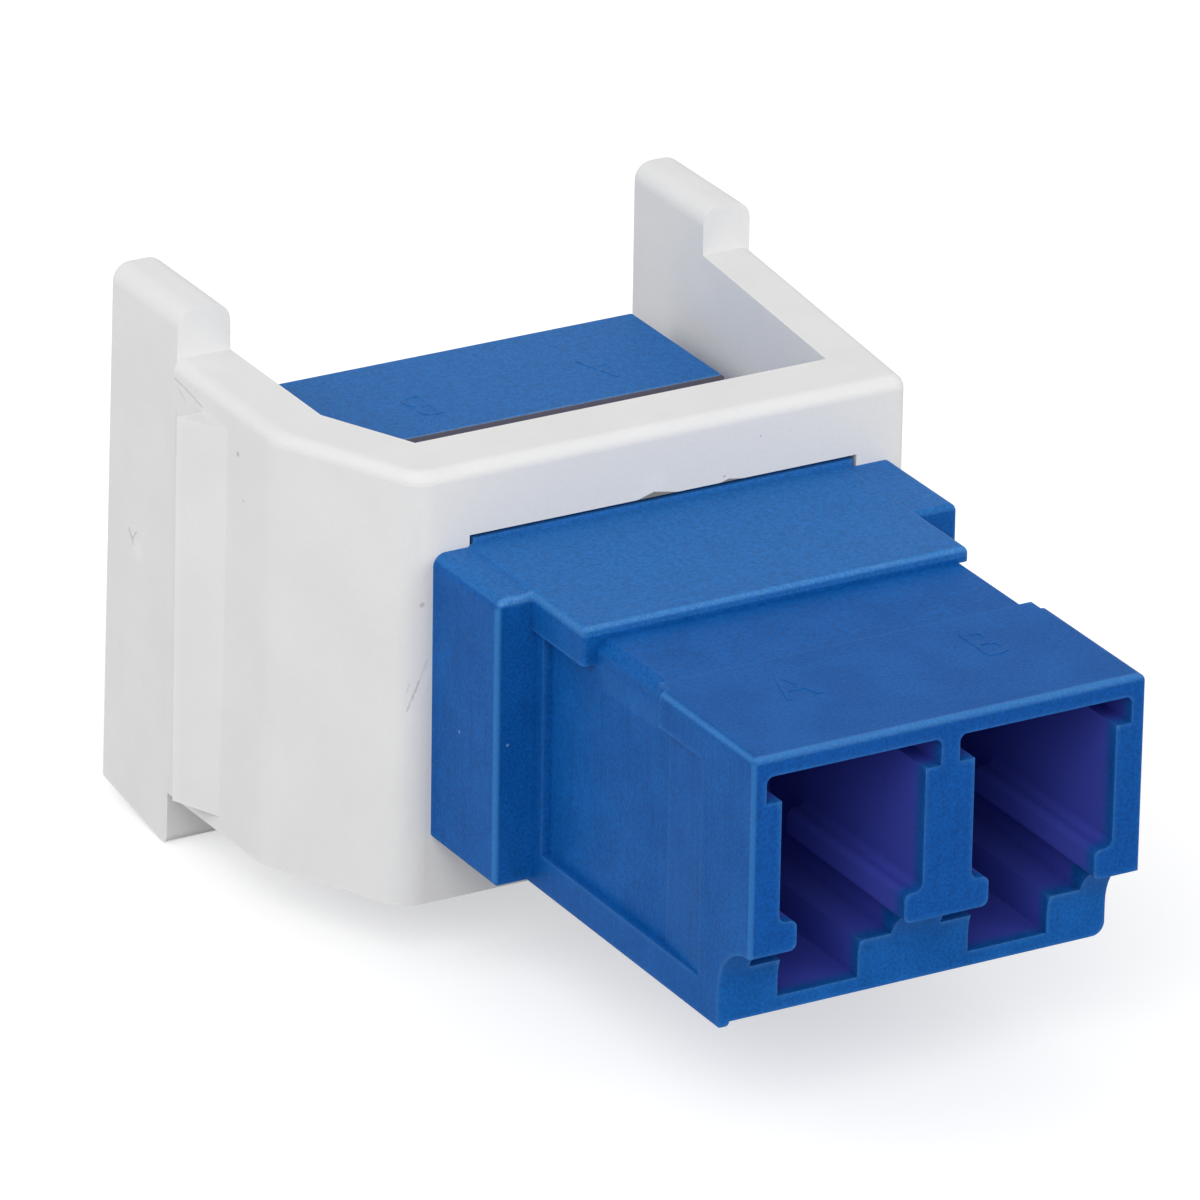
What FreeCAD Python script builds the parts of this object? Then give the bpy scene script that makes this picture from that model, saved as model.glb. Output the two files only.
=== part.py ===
"""Duplex fibre adapter in a snap-in mounting frame.

Two welded housings make the adapter: the front one has the flange, the rear one passes
through the frame's window and catches behind its front wall.  Each housing has two plug
ports with a latch slot underneath, and two half barrels that hold the split sleeves.

Axes: X across the two ports, Y from the front ports to the rear ones, Z up.
Origin: midway between the ferrule axes, on the plane where the frame's lugs bear on a panel.
"""
import FreeCAD, Part
import math
import os
import Sketcher

DOC = FreeCAD.newDocument("duplex_adapter")
SHEET = DOC.addObject("Spreadsheet::Sheet", "Sizes")

SIZES = (
    ("port_pitch", 6.25, "between the two ferrule axes"),
    ("port_width", 4.65, "square socket for the plug body"),
    ("socket_top", 2.325, "socket's roof above the ferrule axis"),
    ("socket_drop", 2.25, "socket's lips below the ferrule axis"),
    ("groove_width", 5.65, "wide groove along the socket's roof"),
    ("groove_height", 0.82, "wide groove along the socket's roof"),
    ("groove_depth", 9.0, "wide groove, back from the mouth"),
    ("lip_gap", 3.5, "between the two lips that the latch passes"),
    ("lip_thickness", 0.92, "lips under the socket"),
    ("lip_length", 6.5, "lips, back from the mouth"),
    ("shoulder_height", 1.08, "room under the lips for the latch's shoulders"),
    ("latch_depth", 8.5, "latch room, back from the mouth"),
    ("channel_width", 2.62, "channel for the latch's thumb lever"),
    ("channel_floor", 0.45, "wall under the channel"),
    ("roof_wall", 0.62, "wall over the socket"),
    ("side_wall", 0.435, "housing's side beside the roof groove"),
    ("nose_drop", 5.89, "from the ferrule axis to the housing's underside"),
    ("half_length", 14.65, "from the optical plane to each end"),
    ("setback", 1.72, "latch sill behind the mouth, and its cove's radius"),
    ("end_section", 5.77, "wider section at each end"),
    ("rear_section", 5.55, "rear housing's raised end section"),
    ("side_recess", 0.265, "depth of the panel in each side"),
    ("recess_start", 2.8, "side panel's ramp, from the end"),
    ("recess_full", 5.0, "side panel at full depth, from the end"),
    ("recess_gap", 0.52, "side panel's inner end, in front of the flange"),
    ("recess_low", 4.85, "side panel's lower edge, below the ferrule axis"),
    ("recess_high", 1.85, "side panel's upper edge at the end section"),
    ("recess_step", 0.06, "small step where the side panel's ramp starts and ends"),
    ("rail_end", 5.25, "upper side rail, from the end"),
    ("keel_rail", 0.13, "rail under the front housing's left lower edge"),
    ("rear_rise", 0.33, "rear end section's top above the front one's"),
    ("top_step", 0.06, "end section's top above the middle's"),
    ("shoulder_bevel", 0.33, "bevel along the middle's upper edges"),
    ("flange_reach", 1.265, "flange beyond the housing's side"),
    ("flange_rise", 0.235, "flange above the housing's top"),
    ("flange_short", 0.11, "flange's foot above the housing's underside"),
    ("flange_thickness", 3.78, "front to back"),
    ("spigot_length", 1.5, "optical plane to the flange's back"),
    ("saddle_over", 0.155, "raised saddle beyond the housing's left side"),
    ("saddle_short", 0.185, "raised saddle's right edge, in from the side"),
    ("collar_rise", 0.14, "rear housing's collar above the saddle"),
    ("collar_play", 0.12, "collar under the window's top edge"),
    ("collar_side", 0.05, "collar's sides, in from the housing's outer sides"),
    ("saddle_rise", 0.335, "saddle above the housing's top"),
    ("saddle_reach", 3.05, "saddle in front of the flange"),
    ("saddle_skirt", 1.18, "height of the saddle's side skirts"),
    ("web", 0.7, "partition that carries each half barrel"),
    ("spigot_wall", 0.5, "flange pocket wall round the rear housing's spigot"),
    ("spigot_gap", 0.03, "between spigot and pocket"),
    ("barrel_radius", 1.25, "outside of the sleeve barrel"),
    ("barrel_length", 4.1, "barrel tip from the optical plane"),
    ("ferrule_hole", 0.7, "inner radius of the lead-in in the barrel's tip"),
    ("tip_mouth", 0.95, "outer radius of the lead-in"),
    ("sleeve_outer", 0.81, "radius"),
    ("sleeve_inner", 0.6235, "radius, sprung on to a 1.25 mm ferrule"),
    ("sleeve_length", 6.8, "split sleeve"),
    ("sleeve_slot", 0.25, "width of the slot"),
    ("sleeve_play", 0.015, "radial gap round the sleeve"),
    ("catch_height", 0.22, "catch above the window's edge"),
    ("catch_length", 2.2, "ramp of each catch"),
    ("catch_width", 3.0, "each catch"),
    ("catch_gap", 0.05, "catch to the wall's back"),
    ("window_play", 0.075, "frame window beside the housing's end section"),
    ("header", 2.16, "frame wall above the window"),
    ("window_sill", 0.11, "window's bottom edge under the housing"),
    ("footer", 2.11, "frame wall below the window, at the rear"),
    ("frame_depth", 10.95, "front face to the lugs' bearing plane"),
    ("front_wall", 2.23, "thickness of the frame's front wall"),
    ("left_corner", 1.815, "front face's left edge beyond the housing's side, at the top"),
    ("left_outside", 3.965, "left wall's outside beyond the housing's side, at the top"),
    ("left_root", 0.665, "left wall's inside beyond the housing's side, at the front wall"),
    ("left_inside", 2.095, "left wall's inside beyond the housing's side"),
    ("left_plate", 3.815, "left lug's outside beyond the housing's side, at the top"),
    ("chamfer_run", 4.64, "left corner's chamfer along the depth"),
    ("right_corner", 1.765, "front face's right edge beyond the housing's side"),
    ("right_outside", 2.865, "right wall's outside beyond the housing's side, at the rear"),
    ("right_plate", 2.755, "right lug's outside beyond the housing's side"),
    ("right_root", 0.295, "right wall's inside beyond the housing's side, at the front wall"),
    ("right_inside", 1.145, "right wall's inside beyond the housing's side, at the rear"),
    ("side_draft", 0.32, "how far the left outer faces spread to the bottom"),
    ("lug_thickness", 1.62, "each rear plate"),
    ("lug_draft", 0.42, "how far the left lug's outer face spreads to the bottom"),
    ("underside_rise", 0.24, "rise of the frame walls' underside to the front"),
    ("lug_length", 4.4, "each rear plate, back from the bearing plane"),
    ("lug_rise", 1.53, "lug above the side wall"),
    ("lug_fall", 1.83, "lug below the side wall"),
    ("lug_drop_rise", 0.68, "rise of the plate's bottom to the rear"),
    ("wedge_reach", 0.86, "snap wedge beyond the wall"),
    ("wedge_ramp", 1.64, "ramp of the snap wedge"),
    ("panel_slot", 1.85, "panel edge between wedge and lug"),
    ("wedge_gap", 0.94, "left wedge below the side wall's top"),
    ("wedge_lower", 0.32, "right wedge lower than the left one"),
    ("wedge_foot", 0.59, "both wedges above the side wall's foot"),
    ("bend_radius", 2.2, "soft bend where the chamfer meets the left wall"),
    ("corner_radius", 1.0, "frame's front left corner"),
    ("edge_radius", 0.4, "frame's upper edges"),
    ("lug_radius", 0.6, "lugs' upper edges, front to back"),
    ("lug_tip_radius", 0.3, "lugs' rear ends"),
    ("lug_heel_radius", 0.3, "lugs' front lower edges"),
    ("rear_radius", 0.1, "rear end section's upper edges"),
    ("nose_radius", 0.25, "housing's upper edges at the end section"),
    ("keel_radius", 0.4, "housing's lower edges"),
    ("rim_radius", 0.09, "mouth's outer rim"),
    ("brow_radius", 0.15, "saddle's front edge"),
    ("lip_radius", 0.25, "where each lip meets its wall"),
    ("port_radius", 0.22, "sockets' corners"),
    ("flange_left_radius", 0.4, "flange's upper left corner"),
    ("flange_right_radius", 0.25, "flange's upper right corner"),
    ("flange_edge", 0.14, "flange's front edges"),
    ("saddle_radius", 0.22, "saddle's side edges"),
)

for row, (alias, number, note) in enumerate(SIZES, start=1):
    SHEET.set(f"A{row}", alias.replace("_", " "))
    SHEET.set(f"B{row}", str(number))
    SHEET.setAlias(f"B{row}", alias)
    SHEET.set(f"C{row}", note)
DOC.recompute()


class Term:
    """A length that keeps its number and the sheet expression it comes from."""

    def __init__(self, number, text=None):
        self.number = float(number)
        self.text = text or f"{number}"

    def join(self, other, sign, number):
        other = other if isinstance(other, Term) else Term(other)
        return Term(number(self.number, other.number), f"({self.text} {sign} {other.text})")

    def __add__(self, other):
        return self.join(other, "+", lambda a, b: a + b)

    def __sub__(self, other):
        return self.join(other, "-", lambda a, b: a - b)

    def __mul__(self, other):
        return self.join(other, "*", lambda a, b: a * b)

    def __truediv__(self, other):
        return self.join(other, "/", lambda a, b: a / b)

    def __neg__(self):
        return Term(-self.number, f"(-1 * {self.text})")


def size(alias):
    """The named cell of the sheet."""
    return Term(float(SHEET.get(alias)), f"Sizes.{alias}")


ZERO = Term(0)

# Each direction has its origin plane and the sign of that plane's normal.
PLANES = {"X": ("YZ_Plane", 1), "Y": ("XZ_Plane", -1), "Z": ("XY_Plane", 1)}


def new_body(label):
    body = DOC.addObject("PartDesign::Body", label)
    body.Label = label
    return body


def place_sketch(body, name, axis, level):
    """An empty sketch square to the axis, at the level along it."""
    role, sign = PLANES[axis]
    sketch = body.newObject("Sketcher::SketchObject", name)
    plane = next(item for item in body.Origin.OriginFeatures if item.Role == role)
    sketch.AttachmentSupport = (plane, [""])
    sketch.MapMode = "FlatFace"
    offset = level * sign
    sketch.AttachmentOffset.Base.z = offset.number
    sketch.setExpression("AttachmentOffset.Base.z", offset.text)
    return sketch


def pin_point(sketch, geometry, corner, point):
    """Tie a sketch point's two coordinates to the sheet."""
    for kind, term in zip(("DistanceX", "DistanceY"), point):
        rule = Sketcher.Constraint(kind, -1, 1, geometry, corner, term.number)
        index = sketch.addConstraint(rule)
        sketch.setExpression(f"Constraints[{index}]", term.text)


def draw_polygon(sketch, points):
    """A closed outline with every corner tied to the sheet."""
    corners = [FreeCAD.Vector(x.number, y.number, 0) for x, y in points]
    first = sketch.GeometryCount
    count = len(corners)
    for index in range(count):
        sketch.addGeometry(Part.LineSegment(corners[index], corners[(index + 1) % count]), False)
    for index in range(count):
        following = first + (index + 1) % count
        sketch.addConstraint(Sketcher.Constraint("Coincident", first + index, 2, following, 1))
        pin_point(sketch, first + index, 1, points[index])


def draw_circle(sketch, centre, radius):
    """A circle with its centre and radius tied to the sheet."""
    middle = FreeCAD.Vector(centre[0].number, centre[1].number, 0)
    circle = Part.Circle(middle, FreeCAD.Vector(0, 0, 1), radius.number)
    geometry = sketch.addGeometry(circle, False)
    pin_point(sketch, geometry, 3, centre)
    index = sketch.addConstraint(Sketcher.Constraint("Radius", geometry, radius.number))
    sketch.setExpression(f"Constraints[{index}]", radius.text)


def extrude(body, name, axis, low, high, draw, cut=False):
    """Pad or pocket a sketch between two levels; draw fills the sketch."""
    from_high = (PLANES[axis][1] < 0) != cut
    sketch = place_sketch(body, f"{name}_sketch", axis, high if from_high else low)
    draw(sketch)
    before = body.Shape.Volume if body.Tip else 0.0
    feature = body.newObject("PartDesign::Pocket" if cut else "PartDesign::Pad", name)
    feature.Profile = sketch
    feature.Type = "Length"
    feature.Length = (high - low).number
    feature.setExpression("Length", (high - low).text)
    DOC.recompute()
    change = body.Shape.Volume - before
    if (change >= 0.0) == cut:
        raise RuntimeError(f"{name} changed the volume by {change:.4f} mm3")
    return feature


def block(body, name, x, y, z, cut=False):
    """A box between two levels each way, added or cut away."""
    corners = [(x[0], z[0]), (x[1], z[0]), (x[1], z[1]), (x[0], z[1])]
    return extrude(body, name, "Y", y[0], y[1], lambda sketch: draw_polygon(sketch, corners), cut)


def prism(body, name, axis, low, high, points, cut=False):
    """A prism with the given outline between two levels."""
    return extrude(body, name, axis, low, high, lambda sketch: draw_polygon(sketch, points), cut)


def cylinder(body, name, centre, radius, low, high, cut=False):
    """A round bar or bore along Y."""
    return extrude(body, name, "Y", low, high, lambda sketch: draw_circle(sketch, centre, radius), cut)


def turn_cut(body, name, middle, profile):
    """Cut a profile away, turned about the ferrule axis at middle."""
    sketch = place_sketch(body, f"{name}_sketch", "X", middle)
    draw_polygon(sketch, profile)
    before = body.Shape.Volume
    feature = body.newObject("PartDesign::Groove", name)
    feature.Profile = sketch
    feature.ReferenceAxis = (sketch, ["H_Axis"])
    feature.Angle = 360
    DOC.recompute()
    if body.Shape.Volume >= before:
        raise RuntimeError(f"{name} cut nothing")
    return feature


def loft(body, name, bottom, top, low, high):
    """A drafted solid between a lower and an upper outline with the same corners."""
    sections = []
    for mark, points, level in (("low", bottom, low), ("high", top, high)):
        sketch = place_sketch(body, f"{name}_{mark}", "Z", level)
        draw_polygon(sketch, points)
        sections.append(sketch)
    feature = body.newObject("PartDesign::AdditiveLoft", name)
    feature.Profile = sections[0]
    feature.Sections = [sections[1]]
    feature.Ruled = True
    DOC.recompute()
    return feature


NEAR = 1e-3


def edges_where(body, wanted):
    """Names of the body's edges that the test accepts."""
    return [f"Edge{index}" for index, edge in enumerate(body.Shape.Edges, start=1) if wanted(edge)]


def middle_of(edge):
    """The point halfway along an edge."""
    return edge.valueAt((edge.FirstParameter + edge.LastParameter) / 2)


def straight_along(edge, axis):
    """Whether a straight edge runs along one axis."""
    if edge.Degenerated or edge.Curve.TypeId != "Part::GeomLine":
        return False
    direction = edge.Curve.Direction
    return abs(abs(getattr(direction, axis.lower())) - 1.0) < NEAR


def runs(axis, **levels):
    """A test for straight edges along an axis that lie at the given levels."""
    def test(edge):
        middle = middle_of(edge)
        at_levels = (abs(getattr(middle, key) - term.number) < NEAR for key, term in levels.items())
        return straight_along(edge, axis) and all(at_levels)
    return test


def passes(**levels):
    """A test for edges whose midpoint lies at the given levels, drafted ones included."""
    def test(edge):
        middle = middle_of(edge)
        return all(abs(getattr(middle, key) - term.number) < NEAR for key, term in levels.items())
    return test


def dress(body, kind, name, radius, tests):
    """Round or bevel every edge that one of the tests accepts."""
    names = edges_where(body, lambda edge: any(test(edge) for test in tests))
    if not names:
        raise RuntimeError(f"{name} found no edge")
    base = body.Tip
    feature = body.newObject(f"PartDesign::{kind}", name)
    feature.Base = (base, names)
    key = "Radius" if kind == "Fillet" else "Size"
    setattr(feature, key, radius.number)
    feature.setExpression(key, radius.text)
    DOC.recompute()
    if body.Shape.isNull() or not feature.isValid():
        raise RuntimeError(f"{name} failed")
    return feature


def fillet(body, name, radius, *tests):
    return dress(body, "Fillet", name, radius, tests)


def chamfer(body, name, radius, *tests):
    return dress(body, "Chamfer", name, radius, tests)


# Places that several pieces share.
FRAME_FRONT = -size("frame_depth")
WALL_BACK = FRAME_FRONT + size("front_wall")
OPTICAL_PLANE = FRAME_FRONT - size("spigot_length")
FLANGE_START = size("half_length") + size("spigot_length") - size("flange_thickness")
PANEL_END = FLANGE_START - size("recess_gap")
HALF_NOSE = size("port_pitch") / 2 + size("groove_width") / 2 + size("side_wall")
NOSE_TOP = size("socket_top") + size("roof_wall")
NOSE_BOTTOM = -size("nose_drop")
SOCKET_TOP = size("socket_top")
SOCKET_BOTTOM = -size("socket_drop")
LIP_BOTTOM = SOCKET_BOTTOM - size("lip_thickness")
SILL_TOP = LIP_BOTTOM - size("shoulder_height")
MIDDLE_TOP = NOSE_TOP - size("top_step")
MIDDLE_HALF = HALF_NOSE - size("side_recess")
SADDLE_TOP = NOSE_TOP + size("saddle_rise")
COLLAR_TOP = SADDLE_TOP + size("collar_rise")
WINDOW_ROOF = COLLAR_TOP + size("collar_play")
WINDOW_SILL = NOSE_BOTTOM - size("window_sill")
FRAME_TOP = WINDOW_ROOF + size("header")
FRAME_BOTTOM = WINDOW_SILL - size("footer")
LUG_TOP = FRAME_TOP + size("lug_rise")
LUG_BOTTOM = FRAME_BOTTOM - size("lug_fall")
SLEEVE_SEAT = size("sleeve_outer") + size("sleeve_play")
PORTS = (("a", -size("port_pitch") / 2), ("b", size("port_pitch") / 2))


def beyond(alias):
    """A distance from the centre, given how far it lies beyond the housing's side."""
    return HALF_NOSE + size(alias)


class End:
    """One half of the adapter: turns distances from its mouth into levels along Y."""

    def __init__(self, facing):
        self.facing = facing
        self.mouth = OPTICAL_PLANE + size("half_length") * facing

    def level(self, distance):
        """The level this far in from the mouth."""
        return self.mouth - distance * self.facing

    def span(self, start, stop):
        """Two distances from the mouth as levels in rising order."""
        levels = (self.level(start), self.level(stop))
        return levels if self.facing < 0 else levels[::-1]


FRONT = End(-1)
REAR = End(1)


def mirrored(term, side):
    return term * side


def band(side, inner, outer):
    """Levels between two distances from the centre, on the left or the right."""
    return (-outer, -inner) if side < 0 else (inner, outer)


def add_nose(body, end, root, crown, section, rail, radius):
    """The housing's outer block, from its mouth to root, with its side panels."""
    half = (-HALF_NOSE, HALF_NOSE)
    block(body, "nose", half, end.span(ZERO, root), (NOSE_BOTTOM, crown))
    start, full, step = size("recess_start"), size("recess_full"), size("recess_step")
    low, high = -size("recess_low"), size("recess_high")
    for side, word in ((-1, "left"), (1, "right")):
        across = band(side, MIDDLE_HALF, HALF_NOSE)
        panel = end.span(full, PANEL_END)
        block(body, f"{word}_panel", across, panel, (low, high), cut=True)
        upper = end.span(rail, PANEL_END)
        block(body, f"{word}_shoulder", across, upper, (high, crown), cut=True)
        ramp = [
            (mirrored(HALF_NOSE, side), end.level(start)),
            (mirrored(HALF_NOSE, side), end.level(full)),
            (mirrored(MIDDLE_HALF + step, side), end.level(full)),
            (mirrored(HALF_NOSE - step, side), end.level(start)),
        ]
        prism(body, f"{word}_panel_ramp", "Z", low, high, ramp, cut=True)
    middle = end.span(section, root)
    block(body, "top_step", half, middle, (MIDDLE_TOP, crown), cut=True)
    shoulders = [runs("Y", x=mirrored(MIDDLE_HALF, side), z=MIDDLE_TOP) for side in (-1, 1)]
    chamfer(body, "shoulder_bevels", size("shoulder_bevel"), *shoulders)
    uppers = [runs("Y", x=mirrored(HALF_NOSE, side), z=crown) for side in (-1, 1)]
    fillet(body, "nose_edges", radius, *uppers)
    keels = [runs("Y", x=mirrored(HALF_NOSE, side), z=NOSE_BOTTOM) for side in (-1, 1)]
    fillet(body, "keel_edges", size("keel_radius"), *keels)
    # The rim is tangent all round the mouth, so its top edge takes the whole outline.
    fillet(body, "mouth_rim", size("rim_radius"), runs("X", y=end.level(ZERO), z=crown))


def cut_sill(body, end):
    """Set the latch sill back from the mouth, with a cove up to the lips."""
    depth = size("setback")
    front, back, low = end.level(ZERO), end.level(depth), LIP_BOTTOM - depth
    down = NOSE_BOTTOM - size("keel_rail")
    corners = [(front, LIP_BOTTOM), (front, down), (back, down), (back, low)]

    def draw(sketch):
        points = [FreeCAD.Vector(x.number, y.number, 0) for x, y in corners]
        for index in range(3):
            sketch.addGeometry(Part.LineSegment(points[index], points[index + 1]), False)
        centre = FreeCAD.Vector(front.number, low.number, 0)
        circle = Part.Circle(centre, FreeCAD.Vector(0, 0, 1), depth.number)
        start = 0.0 if end.facing < 0 else math.pi / 2
        sketch.addGeometry(Part.ArcOfCircle(circle, start, start + math.pi / 2), False)
        arc_low, arc_high = (1, 2) if end.facing < 0 else (2, 1)
        joins = ((0, 2, 1, 1), (1, 2, 2, 1), (2, 2, 3, arc_low), (3, arc_high, 0, 1))
        for join in joins:
            sketch.addConstraint(Sketcher.Constraint("Coincident", *join))
        for index in range(3):
            pin_point(sketch, index, 1, corners[index])
        pin_point(sketch, 2, 2, corners[3])
        index = sketch.addConstraint(Sketcher.Constraint("Radius", 3, depth.number))
        sketch.setExpression(f"Constraints[{index}]", depth.text)

    extrude(body, "sill", "X", -HALF_NOSE, HALF_NOSE, draw, cut=True)


def cut_ports(body, end, floor):
    """Both plug sockets with their roof groove, lips, latch room and lever channel."""
    half = size("port_width") / 2
    groove, gap, channel = (size(name) / 2 for name in ("groove_width", "lip_gap", "channel_width"))
    channel_bottom = NOSE_BOTTOM + size("channel_floor")
    for name, middle in PORTS:
        def across(reach):
            return (middle - reach, middle + reach)
        cuts = (
            ("socket", half, (ZERO, floor), (SOCKET_BOTTOM, SOCKET_TOP)),
            ("groove", groove, (ZERO, size("groove_depth")),
             (SOCKET_TOP - size("groove_height"), SOCKET_TOP)),
            ("throat", gap, (ZERO, size("lip_length")), (LIP_BOTTOM, SOCKET_BOTTOM)),
            ("latch_room", half, (ZERO, size("latch_depth")), (SILL_TOP, LIP_BOTTOM)),
            ("latch_well", half, (size("lip_length"), size("latch_depth")), (LIP_BOTTOM, SOCKET_BOTTOM)),
            ("channel", channel, (ZERO, size("latch_depth")), (channel_bottom, SILL_TOP)),
        )
        for word, reach, depths, levels in cuts:
            block(body, f"{word}_{name}", across(reach), end.span(*depths), levels, cut=True)


def round_ports(body):
    """Soften the sockets' corners and the lips' tips along the ports."""
    tests = []
    for _, middle in PORTS:
        for side in (-1, 1):
            tests.append(runs("Y", x=middle + mirrored(size("groove_width") / 2, side), z=SOCKET_TOP))
            tests.append(runs("Y", x=middle + mirrored(size("lip_gap") / 2, side), z=SOCKET_BOTTOM))
            tests.append(runs("Y", x=middle + mirrored(size("lip_gap") / 2, side), z=LIP_BOTTOM))
    fillet(body, "port_corners", size("port_radius"), *tests)
    half = size("port_width") / 2
    walls = [middle + mirrored(half, side) for _, middle in PORTS for side in (-1, 1)]
    roots = [runs("Y", x=wall, z=SOCKET_BOTTOM) for wall in walls]
    fillet(body, "lip_roots", size("lip_radius"), *roots)


def add_barrels(body, end):
    """Half barrels on the web, bored for the sleeves and lipped at their tips."""
    root = size("half_length") - size("web")
    tip = size("half_length") - size("barrel_length")
    stop = size("half_length") - size("sleeve_length") / 2 - size("sleeve_play")
    for name, middle in PORTS:
        centre = (middle, ZERO)
        cylinder(body, f"barrel_{name}", centre, size("barrel_radius"), *end.span(tip, root))
        cylinder(body, f"seat_{name}", centre, SLEEVE_SEAT, *end.span(stop, size("half_length")), cut=True)
        # The tip's hole narrows inwards to lead the ferrule in, and its lip keeps the sleeve.
        profile = [
            (end.level(tip), ZERO),
            (end.level(tip), size("tip_mouth")),
            (end.level(stop), size("ferrule_hole")),
            (end.level(stop), ZERO),
        ]
        turn_cut(body, f"tip_hole_{name}", middle, profile)


def add_flange(body):
    """The flange, and the saddle that runs over it from its left skirt to the window."""
    half = beyond("flange_reach")
    back = FRAME_FRONT
    front = back - size("flange_thickness")
    top, bottom = NOSE_TOP + size("flange_rise"), NOSE_BOTTOM + size("flange_short")
    block(body, "flange", (-half, half), (front, back), (bottom, top))
    fillet(body, "flange_left_corner", size("flange_left_radius"), runs("Y", x=-half, z=top))
    fillet(body, "flange_right_corner", size("flange_right_radius"), runs("Y", x=half, z=top))
    feet = [runs("Y", x=mirrored(half, side), z=bottom) for side in (-1, 1)]
    rims = [runs("Z", x=mirrored(half, side), y=front) for side in (-1, 1)]
    fillet(body, "flange_rims", size("flange_edge"), *feet, *rims)
    left, right = beyond("saddle_over"), HALF_NOSE - size("saddle_short")
    saddle_front = front - size("saddle_reach")
    saddle_top = SADDLE_TOP
    seat = MIDDLE_TOP - size("top_step")
    block(body, "saddle", (-left, right), (saddle_front, back), (seat, saddle_top))
    inner = MIDDLE_HALF - size("shoulder_bevel")
    skirt = (saddle_top - size("saddle_skirt"), saddle_top)
    block(body, "left_skirt", (-left, -inner), (saddle_front, front), skirt)
    edges = [runs("Y", x=x, z=saddle_top) for x in (-left, right)]
    fillet(body, "saddle_edges", size("saddle_radius"), *edges)
    brow = [runs("X", y=saddle_front, z=saddle_top)]
    fillet(body, "saddle_brow", size("brow_radius"), *brow)


def add_catches(body):
    """Ramped catches above and below that snap behind the frame's front wall."""
    face = WALL_BACK + size("catch_gap")
    half = size("catch_width") / 2
    sides = (
        ("top", MIDDLE_TOP - size("top_step"), WINDOW_ROOF + size("catch_height")),
        ("bottom", NOSE_BOTTOM + size("channel_floor") / 2,
         WINDOW_SILL - size("catch_height")),
    )
    for name, middle in PORTS:
        for word, root, crest in sides:
            profile = [(face, root), (face, crest), (face + size("catch_length"), root)]
            prism(body, f"catch_{word}_{name}", "X", middle - half, middle + half, profile)


def make_front_housing():
    body = new_body("front_housing")
    root = size("half_length")
    add_nose(body, FRONT, root, NOSE_TOP, size("end_section"), size("rail_end"), size("nose_radius"))
    rail = (NOSE_BOTTOM - size("keel_rail"), NOSE_BOTTOM + size("keel_radius"))
    block(body, "keel_rail", (-HALF_NOSE, size("keel_radius") - HALF_NOSE), FRONT.span(ZERO, root), rail)
    keel = [runs("Y", x=-HALF_NOSE, z=rail[0]), runs("Y", x=size("keel_radius") - HALF_NOSE, z=rail[0])]
    fillet(body, "keel_rail_edges", size("keel_rail") * 0.9, *keel)
    add_flange(body)
    cut_sill(body, FRONT)
    cut_ports(body, FRONT, root - size("web"))
    round_ports(body)
    # The pocket in the flange's back takes the rear housing's spigot.
    wall = size("spigot_wall")
    pocket_x = (wall - HALF_NOSE, HALF_NOSE - wall)
    pocket_z = (NOSE_BOTTOM + wall, NOSE_TOP - wall)
    block(body, "spigot_pocket", pocket_x, (OPTICAL_PLANE, FRAME_FRONT), pocket_z, cut=True)
    add_barrels(body, FRONT)
    return body


def make_rear_housing():
    body = new_body("rear_housing")
    root = size("half_length") - (FRAME_FRONT - OPTICAL_PLANE)
    section = size("rear_section")
    crown = NOSE_TOP + size("rear_rise")
    add_nose(body, REAR, root, crown, section, section, size("rear_radius"))
    # The collar fills the window's height behind the flange.
    collar_half = HALF_NOSE - size("collar_side")
    block(body, "collar", (-collar_half, collar_half), (FRAME_FRONT, WALL_BACK),
          (MIDDLE_TOP - size("top_step"), COLLAR_TOP))
    # The spigot fills the pocket in the flange and is welded there.
    wall = size("spigot_wall") + size("spigot_gap")
    spigot_x = (wall - HALF_NOSE, HALF_NOSE - wall)
    spigot_z = (NOSE_BOTTOM + wall, NOSE_TOP - wall)
    block(body, "spigot", spigot_x, (OPTICAL_PLANE, FRAME_FRONT), spigot_z)
    cut_sill(body, REAR)
    cut_ports(body, REAR, size("half_length") - size("web"))
    round_ports(body)
    add_catches(body)
    add_barrels(body, REAR)
    return body


def make_sleeve(name, middle):
    """A split ceramic sleeve, slot upwards, centred on the optical plane."""
    body = new_body(f"alignment_sleeve_{name}")
    half = size("sleeve_length") / 2
    ends = (OPTICAL_PLANE - half, OPTICAL_PLANE + half)
    cylinder(body, "sleeve", (middle, ZERO), size("sleeve_outer"), *ends)
    cylinder(body, "ferrule_bore", (middle, ZERO), size("sleeve_inner"), *ends, cut=True)
    slot = size("sleeve_slot") / 2
    block(body, "slot", (middle - slot, middle + slot), ends, (ZERO, size("sleeve_outer")), cut=True)
    return body


def wall_outline(spread):
    """The frame's U in plan, with its left outer faces moved out by the draft."""
    chamfer_x = beyond("left_outside") - beyond("left_corner")
    inner_run = size("chamfer_run") * (beyond("left_inside") - beyond("left_root")) / chamfer_x
    return [
        (-(beyond("left_corner") + spread), FRAME_FRONT),
        (beyond("right_corner"), FRAME_FRONT),
        (beyond("right_outside"), ZERO),
        (beyond("right_inside"), ZERO),
        (beyond("right_root"), WALL_BACK),
        (-beyond("left_root"), WALL_BACK),
        (-beyond("left_inside"), WALL_BACK + inner_run),
        (-beyond("left_inside"), ZERO),
        (-(beyond("left_outside") + spread), ZERO),
        (-(beyond("left_outside") + spread), FRAME_FRONT + size("chamfer_run")),
    ]


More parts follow.
